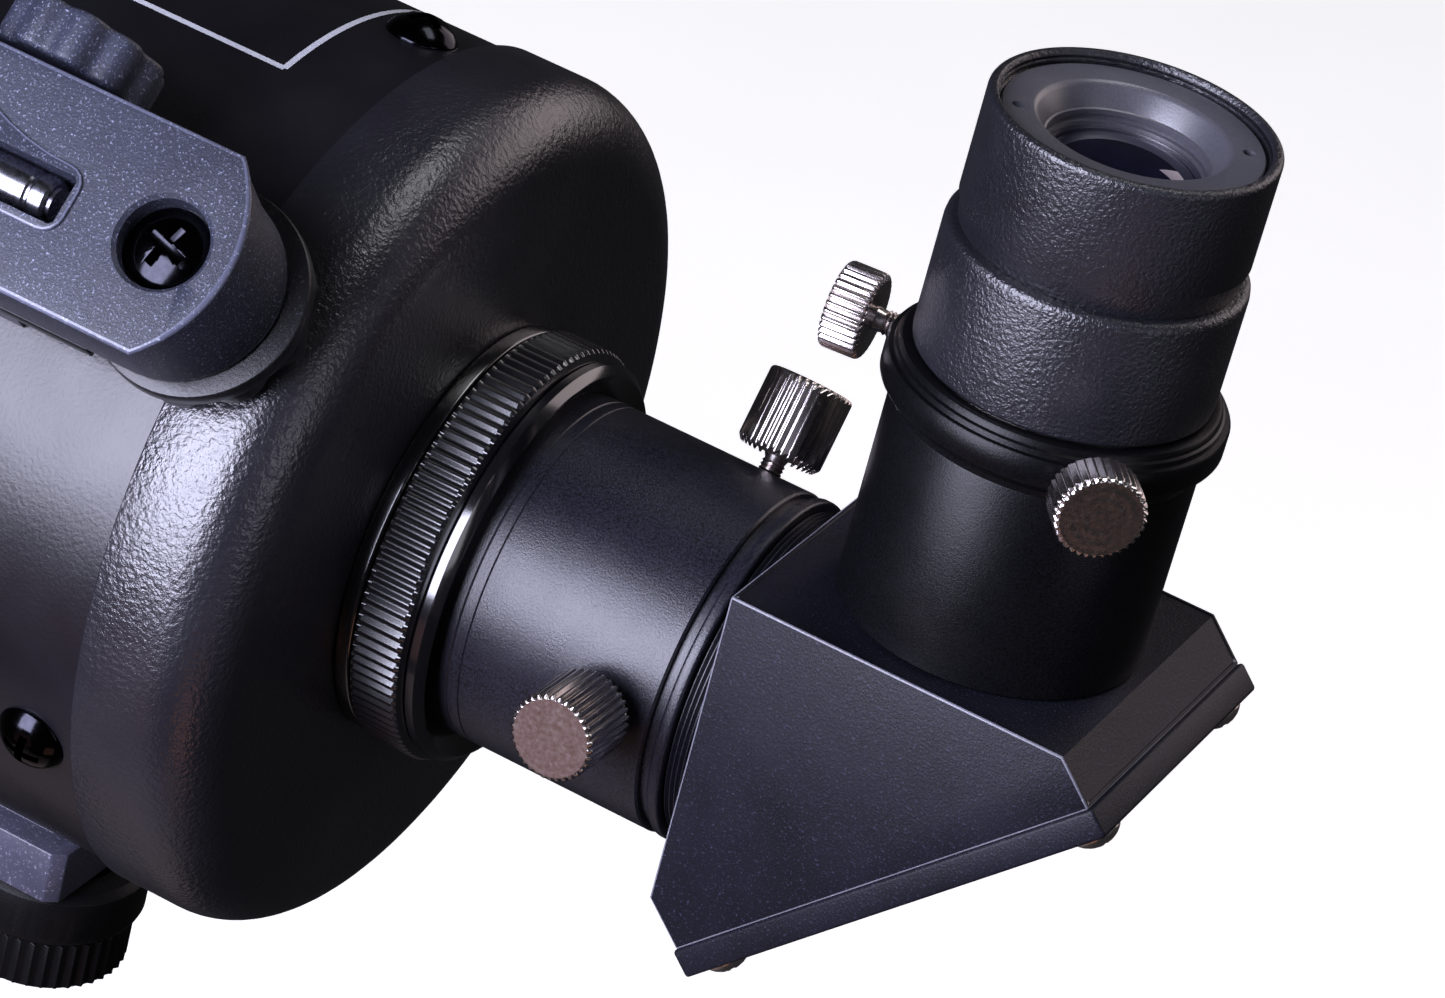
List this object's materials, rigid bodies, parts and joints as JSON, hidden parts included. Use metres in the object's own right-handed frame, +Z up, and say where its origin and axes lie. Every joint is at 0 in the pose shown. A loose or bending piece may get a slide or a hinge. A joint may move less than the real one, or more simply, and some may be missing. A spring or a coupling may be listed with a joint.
{
  "type": "refractor telescope",
  "caption": "Short-tube astronomical refractor with helical focuser, right-angle prism diagonal, eyepiece and red-dot finder, on a tripod clamp knob.",
  "frame": {"origin": "mouth of the tripod socket, in the middle of the underside of the clamp knob", "axes": "+Z up out of the tripod, +X along the optical axis from the lens towards the eyepiece end"},
  "size_m": [0.5319, 0.1459, 0.1721],
  "materials": {
    "black_anodised": "bead-blasted black anodised",
    "black_plastic": "moulded, fine texture",
    "blackened_steel": "black oxide",
    "brass": "plain",
    "cell_paint": "satin black baked enamel",
    "cork": "felt pad",
    "cradle_plastic": "moulded",
    "crown_glass": "coated and polished",
    "eye_glass": "multi-coated",
    "flint_glass": "polished",
    "grey_plastic": "moulded with a speckle",
    "nickel": "nickel plated, turned and knurled",
    "prism_glass": "polished",
    "steel": "plain turned",
    "tube_paint": "gloss black baked enamel"
  },
  "bodies": {
    "stand": {"clamp_knob": "black_plastic", "knob_stud": "steel"},
    "tube": {"main_tube": "tube_paint", "foot_block": "black_anodised", "foot_screws": "steel", "rear_cell": "cell_paint", "rear_cell_screws": "blackened_steel", "front_cell": "cell_paint", "front_cell_screws": "blackened_steel", "crown_lens": "crown_glass", "lens_spacer": "steel", "flint_lens": "flint_glass", "lens_retainer": "black_anodised", "dew_shield": "tube_paint", "front_baffle": "black_anodised", "rear_baffle": "black_anodised", "focus_sleeve": "black_anodised", "sleeve_nut": "steel", "step_ring": "black_anodised", "finder_foot": "grey_plastic", "finder_foot_screws": "steel"},
    "focus_ring": {"focus_ring": "black_anodised"},
    "drawtube": {"drawtube": "black_anodised", "guide_key": "brass"},
    "barrel_screw_near": {"barrel_screw_near": "nickel"},
    "barrel_screw_far": {"barrel_screw_far": "nickel"},
    "diagonal": {"diagonal_nose": "nickel", "diagonal_housing": "cell_paint", "diagonal_prism": "prism_glass", "prism_pad": "cork", "diagonal_cover": "cell_paint", "cover_screws": "nickel", "eyepiece_holder": "black_anodised"},
    "holder_screw_near": {"holder_screw_near": "nickel"},
    "holder_screw_front": {"holder_screw_front": "nickel"},
    "eyepiece": {"eyepiece_barrel": "nickel", "eyepiece_lower_body": "black_anodised", "eyepiece_upper_body": "black_anodised", "eyepiece_ring": "black_anodised", "eye_lens": "eye_glass", "field_lens": "eye_glass", "field_stop": "black_anodised"},
    "finder_cradle": {"finder_cradle": "cradle_plastic", "finder_pivot": "steel"},
    "finder": {"finder_shell": "grey_plastic", "tilt_pin": "steel", "altitude_screw": "blackened_steel", "finder_emitter": "black_anodised", "finder_cell_cover": "cradle_plastic", "coin_cell": "steel", "finder_hoop": "grey_plastic", "finder_lens": "eye_glass"},
    "altitude_wheel": {"altitude_wheel": "black_plastic"},
    "azimuth_knob": {"azimuth_knob": "grey_plastic"},
    "switch_knob": {"switch_knob": "cradle_plastic"}
  },
  "joints": [
    {"name": "mount_turn", "type": "hinge", "parent": "stand", "child": "tube", "pos_m": [0, 0, 0], "axis": [0, 0, 1], "continuous": true},
    {"name": "focus_turn", "type": "hinge", "parent": "tube", "child": "focus_ring", "pos_m": [0.0515, 0, 0.086], "axis": [1, 0, 0], "range_deg": [-150, 150]},
    {"name": "focus_slide", "type": "slide", "parent": "tube", "child": "drawtube", "axis": [1, 0, 0], "range_m": [-0.01, 0.01]},
    {"name": "barrel_screw_near_turn", "type": "hinge", "parent": "drawtube", "child": "barrel_screw_near", "pos_m": [0.0766, 0, 0.086], "axis": [0, -0.9986, 0.0523], "range_deg": [0, 720]},
    {"name": "barrel_screw_far_turn", "type": "hinge", "parent": "drawtube", "child": "barrel_screw_far", "pos_m": [0.0766, 0, 0.086], "axis": [0, 0.5446, 0.8387], "range_deg": [0, 720]},
    {"name": "diagonal_turn", "type": "hinge", "parent": "drawtube", "child": "diagonal", "pos_m": [0.0815, 0, 0.086], "axis": [1, 0, 0], "continuous": true},
    {"name": "holder_screw_near_turn", "type": "hinge", "parent": "diagonal", "child": "holder_screw_near", "pos_m": [0.1115, 0, 0.1373], "axis": [0.5878, -0.809, 0], "range_deg": [0, 720]},
    {"name": "holder_screw_front_turn", "type": "hinge", "parent": "diagonal", "child": "holder_screw_front", "pos_m": [0.1115, 0, 0.1373], "axis": [-0.9945, -0.1045, 0], "range_deg": [0, 720]},
    {"name": "eyepiece_slide", "type": "slide", "parent": "diagonal", "child": "eyepiece", "axis": [0, 0, 1], "range_m": [0, 0.03]},
    {"name": "finder_azimuth", "type": "hinge", "parent": "tube", "child": "finder_cradle", "pos_m": [-0.0147, -0.04352, 0.12658], "axis": [0, -0.7314, 0.682], "range_deg": [-1.2, 1.2]},
    {"name": "finder_altitude", "type": "hinge", "parent": "finder_cradle", "child": "finder", "pos_m": [-0.05485, -0.04783, 0.1306], "axis": [0, -0.682, -0.7314], "range_deg": [0, 1.2]},
    {"name": "altitude_wheel_turn", "type": "hinge", "parent": "finder_cradle", "child": "altitude_wheel", "pos_m": [0.0273, -0.04183, 0.12501], "axis": [0, -0.7314, 0.682], "range_deg": [0, 360]},
    {"name": "azimuth_knob_turn", "type": "hinge", "parent": "finder", "child": "azimuth_knob", "pos_m": [0.0023, -0.03865, 0.14118], "axis": [0, 0.682, 0.7314], "range_deg": [-360, 360]},
    {"name": "switch_turn", "type": "hinge", "parent": "finder", "child": "switch_knob", "pos_m": [-0.0363, -0.04055, 0.14296], "axis": [0, 0.682, 0.7314], "range_deg": [0, 270]}
  ],
  "couplings": [
    {"joint": "focus_turn", "follows": "focus_slide", "rad_per_m": 261.8},
    {"joint": "finder_altitude", "follows": "altitude_wheel_turn", "ratio": 0.003333},
    {"joint": "finder_azimuth", "follows": "azimuth_knob_turn", "ratio": 0.003333}
  ]
}
